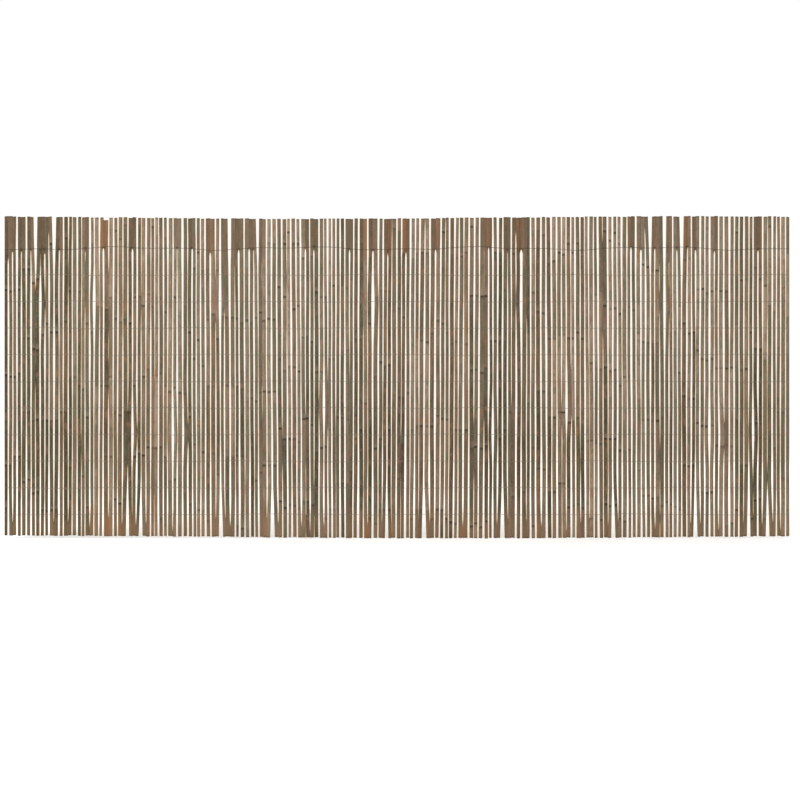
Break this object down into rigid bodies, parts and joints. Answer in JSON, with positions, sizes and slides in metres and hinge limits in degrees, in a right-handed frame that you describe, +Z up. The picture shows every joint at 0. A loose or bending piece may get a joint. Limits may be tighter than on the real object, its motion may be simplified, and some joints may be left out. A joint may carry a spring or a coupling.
{
  "type": "bamboo screen",
  "caption": "Unrolled garden screen of split bamboo slats standing side by side, bound by rows of thin steel wire, for tying to a fence, railing or balcony.",
  "frame": {"origin": "middle of the screen's foot, at the height of the lowest slat end", "axes": "+X along the unrolled screen, +Y from the slats' skin to their backs, +Z up along the slats"},
  "size_m": [3.062, 0.0072, 1.258],
  "materials": {
    "bamboo": "dry, weathered and matt",
    "binding_wire": "dull galvanised"
  },
  "bodies": {
    "root": {"binding_wire_01": "binding_wire", "binding_wire_02": "binding_wire", "binding_wire_03": "binding_wire", "binding_wire_04": "binding_wire", "binding_wire_05": "binding_wire", "binding_wire_06": "binding_wire", "binding_wire_07": "binding_wire", "binding_wire_08": "binding_wire", "binding_wire_09": "binding_wire", "binding_wire_10": "binding_wire", "binding_wire_11": "binding_wire", "slats_01": "bamboo", "slats_02": "bamboo", "slats_03": "bamboo", "slats_04": "bamboo", "slats_05": "bamboo", "slats_06": "bamboo", "slats_07": "bamboo", "slats_08": "bamboo", "slats_09": "bamboo", "slats_10": "bamboo", "slats_11": "bamboo", "slats_12": "bamboo", "slats_13": "bamboo", "slats_14": "bamboo", "slats_15": "bamboo", "slats_16": "bamboo", "slats_17": "bamboo", "slats_18": "bamboo", "slats_19": "bamboo", "slats_20": "bamboo", "slats_21": "bamboo", "slats_22": "bamboo", "slats_23": "bamboo", "slats_24": "bamboo", "slats_25": "bamboo", "slats_26": "bamboo", "slats_27": "bamboo", "slats_28": "bamboo", "slats_29": "bamboo", "slats_30": "bamboo", "slats_31": "bamboo", "slats_32": "bamboo", "slats_33": "bamboo", "slats_34": "bamboo", "slats_35": "bamboo", "slats_36": "bamboo", "slats_37": "bamboo", "slats_38": "bamboo", "slats_39": "bamboo", "slats_40": "bamboo", "slats_41": "bamboo", "slats_42": "bamboo"}
  },
  "joints": []
}
